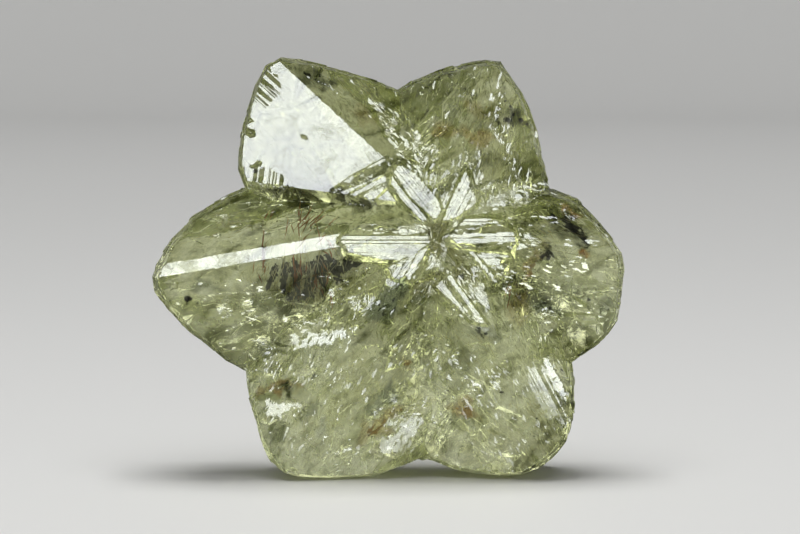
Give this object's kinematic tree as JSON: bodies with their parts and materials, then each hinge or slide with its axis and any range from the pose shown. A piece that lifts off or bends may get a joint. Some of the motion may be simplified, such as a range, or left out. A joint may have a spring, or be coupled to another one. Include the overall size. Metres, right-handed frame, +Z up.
{
  "type": "chrysoberyl crystal",
  "caption": "Star-shaped twinned crystal of pale yellow-green chrysoberyl with striated pinacoid faces, standing on its lower lobes.",
  "frame": {"origin": "centre of the bounding box in plan, at the level of the flats it stands on", "axes": "+X to the right of the star seen from its front, +Y towards its back, +Z up; the shared twin axis points to -Y and leans 4 degrees up"},
  "size_m": [0.0362, 0.0134, 0.0319],
  "materials": {
    "chrysoberyl": "natural crystal faces, clear to cloudy, striated and etched"
  },
  "bodies": {
    "root": {"crystal": "chrysoberyl"}
  },
  "joints": []
}
